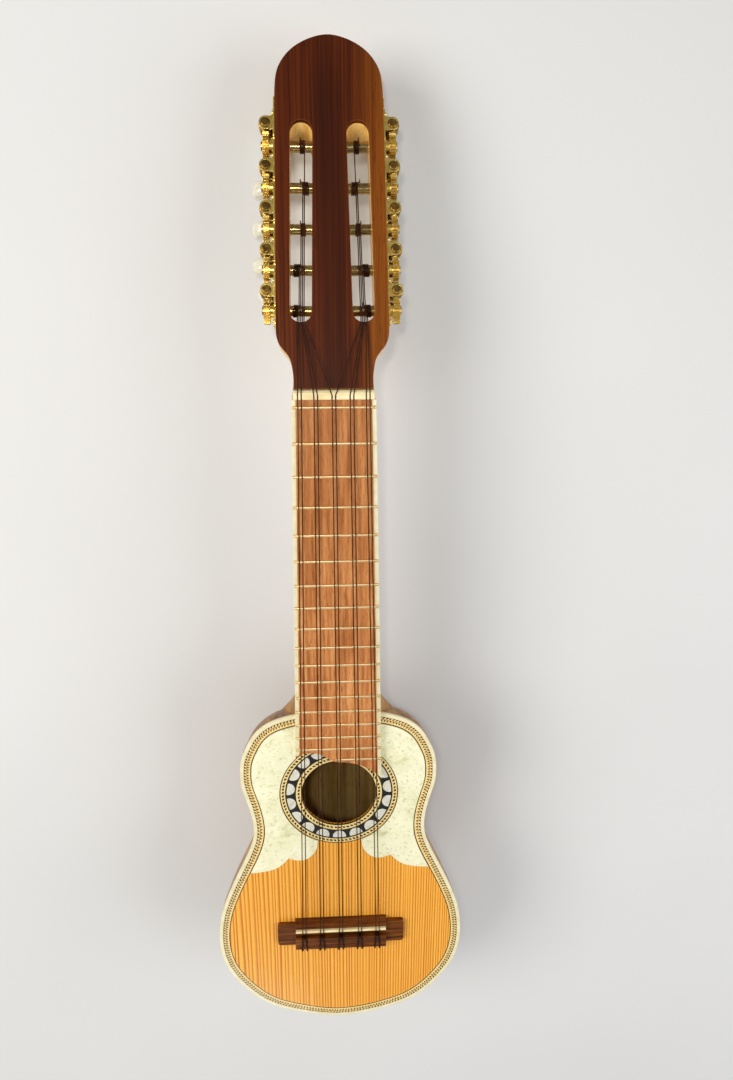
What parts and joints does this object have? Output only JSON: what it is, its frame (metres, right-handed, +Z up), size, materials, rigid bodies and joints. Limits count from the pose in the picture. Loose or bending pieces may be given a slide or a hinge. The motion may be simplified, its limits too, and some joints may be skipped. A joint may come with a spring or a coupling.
{
  "type": "charango lute",
  "caption": "Small waisted lute with a carved one-piece back, round soundhole, fretted neck, tied bridge, paired strings and a slotted head with worm-gear tuners.",
  "frame": {"origin": "centre of the small flat on the carved back, under the body", "axes": "+Y along the neck towards the head tip, +Z up out of the soundboard, +X to the treble side"},
  "size_m": [0.1744, 0.6547, 0.0915],
  "materials": {
    "carved_wood": "satin",
    "dark_veneer": "gloss",
    "spruce": "gloss",
    "brace_wood": "raw",
    "cream_binding": "gloss",
    "purfling": "gloss",
    "rosette_inlay": "gloss",
    "pearl": "pearl gloss",
    "pearl_plate": "pearl gloss",
    "rosewood": "oiled",
    "fret_brass": "polished",
    "bone": "polished",
    "dark_rosewood": "satin",
    "nylon": "gloss",
    "gold_metal": "polished",
    "dark_steel": "polished",
    "worm_metal": "polished",
    "pearl_button": "pearl gloss"
  },
  "bodies": {
    "instrument": {"carved_bowl_neck": "carved_wood", "headstock_veneer": "dark_veneer", "soundboard": "spruce", "soundboard_braces": "brace_wood", "body_binding": "cream_binding", "body_purfling": "purfling", "rosette_rings": "rosette_inlay", "rosette_moons": "pearl", "pickguard_left": "pearl_plate", "pickguard_right": "pearl_plate", "fingerboard": "rosewood", "fingerboard_binding": "cream_binding", "frets": "fret_brass", "nut": "bone", "bridge": "dark_rosewood", "saddle": "bone", "strings": "nylon", "tuner_plate_left": "gold_metal", "tuner_plate_right": "gold_metal", "plate_screws": "gold_metal"},
    "roller_body_left_1": {"roller_left_1": "dark_steel", "gear_left_1": "gold_metal"},
    "worm_body_left_1": {"worm_left_1": "worm_metal", "button_left_1": "pearl_button"},
    "roller_body_left_2": {"roller_left_2": "dark_steel", "gear_left_2": "gold_metal"},
    "worm_body_left_2": {"worm_left_2": "worm_metal", "button_left_2": "pearl_button"},
    "roller_body_left_3": {"roller_left_3": "dark_steel", "gear_left_3": "gold_metal"},
    "worm_body_left_3": {"worm_left_3": "worm_metal", "button_left_3": "pearl_button"},
    "roller_body_left_4": {"roller_left_4": "dark_steel", "gear_left_4": "gold_metal"},
    "worm_body_left_4": {"worm_left_4": "worm_metal", "button_left_4": "pearl_button"},
    "roller_body_left_5": {"roller_left_5": "dark_steel", "gear_left_5": "gold_metal"},
    "worm_body_left_5": {"worm_left_5": "worm_metal", "button_left_5": "pearl_button"},
    "roller_body_right_1": {"roller_right_1": "dark_steel", "gear_right_1": "gold_metal"},
    "worm_body_right_1": {"worm_right_1": "worm_metal", "button_right_1": "pearl_button"},
    "roller_body_right_2": {"roller_right_2": "dark_steel", "gear_right_2": "gold_metal"},
    "worm_body_right_2": {"worm_right_2": "worm_metal", "button_right_2": "pearl_button"},
    "roller_body_right_3": {"roller_right_3": "dark_steel", "gear_right_3": "gold_metal"},
    "worm_body_right_3": {"worm_right_3": "worm_metal", "button_right_3": "pearl_button"},
    "roller_body_right_4": {"roller_right_4": "dark_steel", "gear_right_4": "gold_metal"},
    "worm_body_right_4": {"worm_right_4": "worm_metal", "button_right_4": "pearl_button"},
    "roller_body_right_5": {"roller_right_5": "dark_steel", "gear_right_5": "gold_metal"},
    "worm_body_right_5": {"worm_right_5": "worm_metal", "button_right_5": "pearl_button"}
  },
  "joints": [
    {"name": "button_turn_left_1", "type": "hinge", "parent": "instrument", "child": "worm_body_left_1", "pos_m": [-0.03695, 0.40753, 0.06313], "axis": [0, 0.2334, 0.9724], "continuous": true},
    {"name": "roller_turn_left_1", "type": "hinge", "parent": "instrument", "child": "roller_body_left_1", "pos_m": [-0.03191, 0.39743, 0.06556], "axis": [-0.9999, 0.0154, -0.0037], "continuous": true},
    {"name": "button_turn_left_2", "type": "hinge", "parent": "instrument", "child": "worm_body_left_2", "pos_m": [-0.03659, 0.42967, 0.05782], "axis": [0, 0.2334, 0.9724], "continuous": true},
    {"name": "roller_turn_left_2", "type": "hinge", "parent": "instrument", "child": "roller_body_left_2", "pos_m": [-0.03155, 0.41958, 0.06024], "axis": [-0.9999, 0.0154, -0.0037], "continuous": true},
    {"name": "button_turn_left_3", "type": "hinge", "parent": "instrument", "child": "worm_body_left_3", "pos_m": [-0.03623, 0.45182, 0.0525], "axis": [0, 0.2334, 0.9724], "continuous": true},
    {"name": "roller_turn_left_3", "type": "hinge", "parent": "instrument", "child": "roller_body_left_3", "pos_m": [-0.03119, 0.44172, 0.05492], "axis": [-0.9999, 0.0154, -0.0037], "continuous": true},
    {"name": "button_turn_left_4", "type": "hinge", "parent": "instrument", "child": "worm_body_left_4", "pos_m": [-0.03586, 0.47397, 0.04718], "axis": [0, 0.2334, 0.9724], "continuous": true},
    {"name": "roller_turn_left_4", "type": "hinge", "parent": "instrument", "child": "roller_body_left_4", "pos_m": [-0.03083, 0.46387, 0.04961], "axis": [-0.9999, 0.0154, -0.0037], "continuous": true},
    {"name": "button_turn_left_5", "type": "hinge", "parent": "instrument", "child": "worm_body_left_5", "pos_m": [-0.0355, 0.49611, 0.04187], "axis": [0, 0.2334, 0.9724], "continuous": true},
    {"name": "roller_turn_left_5", "type": "hinge", "parent": "instrument", "child": "roller_body_left_5", "pos_m": [-0.03047, 0.48602, 0.04429], "axis": [-0.9999, 0.0154, -0.0037], "continuous": true},
    {"name": "button_turn_right_1", "type": "hinge", "parent": "instrument", "child": "worm_body_right_1", "pos_m": [0.03695, 0.40753, 0.06313], "axis": [0, 0.2334, 0.9724], "continuous": true},
    {"name": "roller_turn_right_1", "type": "hinge", "parent": "instrument", "child": "roller_body_right_1", "pos_m": [0.03191, 0.39743, 0.06556], "axis": [0.9999, 0.0154, -0.0037], "continuous": true},
    {"name": "button_turn_right_2", "type": "hinge", "parent": "instrument", "child": "worm_body_right_2", "pos_m": [0.03659, 0.42967, 0.05782], "axis": [0, 0.2334, 0.9724], "continuous": true},
    {"name": "roller_turn_right_2", "type": "hinge", "parent": "instrument", "child": "roller_body_right_2", "pos_m": [0.03155, 0.41958, 0.06024], "axis": [0.9999, 0.0154, -0.0037], "continuous": true},
    {"name": "button_turn_right_3", "type": "hinge", "parent": "instrument", "child": "worm_body_right_3", "pos_m": [0.03623, 0.45182, 0.0525], "axis": [0, 0.2334, 0.9724], "continuous": true},
    {"name": "roller_turn_right_3", "type": "hinge", "parent": "instrument", "child": "roller_body_right_3", "pos_m": [0.03119, 0.44172, 0.05492], "axis": [0.9999, 0.0154, -0.0037], "continuous": true},
    {"name": "button_turn_right_4", "type": "hinge", "parent": "instrument", "child": "worm_body_right_4", "pos_m": [0.03586, 0.47397, 0.04718], "axis": [0, 0.2334, 0.9724], "continuous": true},
    {"name": "roller_turn_right_4", "type": "hinge", "parent": "instrument", "child": "roller_body_right_4", "pos_m": [0.03083, 0.46387, 0.04961], "axis": [0.9999, 0.0154, -0.0037], "continuous": true},
    {"name": "button_turn_right_5", "type": "hinge", "parent": "instrument", "child": "worm_body_right_5", "pos_m": [0.0355, 0.49611, 0.04187], "axis": [0, 0.2334, 0.9724], "continuous": true},
    {"name": "roller_turn_right_5", "type": "hinge", "parent": "instrument", "child": "roller_body_right_5", "pos_m": [0.03047, 0.48602, 0.04429], "axis": [0.9999, 0.0154, -0.0037], "continuous": true}
  ],
  "couplings": [
    {"joint": "roller_turn_left_1", "follows": "button_turn_left_1", "ratio": -0.071429},
    {"joint": "roller_turn_left_2", "follows": "button_turn_left_2", "ratio": -0.071429},
    {"joint": "roller_turn_left_3", "follows": "button_turn_left_3", "ratio": -0.071429},
    {"joint": "roller_turn_left_4", "follows": "button_turn_left_4", "ratio": -0.071429},
    {"joint": "roller_turn_left_5", "follows": "button_turn_left_5", "ratio": -0.071429},
    {"joint": "roller_turn_right_1", "follows": "button_turn_right_1", "ratio": -0.071429},
    {"joint": "roller_turn_right_2", "follows": "button_turn_right_2", "ratio": -0.071429},
    {"joint": "roller_turn_right_3", "follows": "button_turn_right_3", "ratio": -0.071429},
    {"joint": "roller_turn_right_4", "follows": "button_turn_right_4", "ratio": -0.071429},
    {"joint": "roller_turn_right_5", "follows": "button_turn_right_5", "ratio": -0.071429}
  ]
}
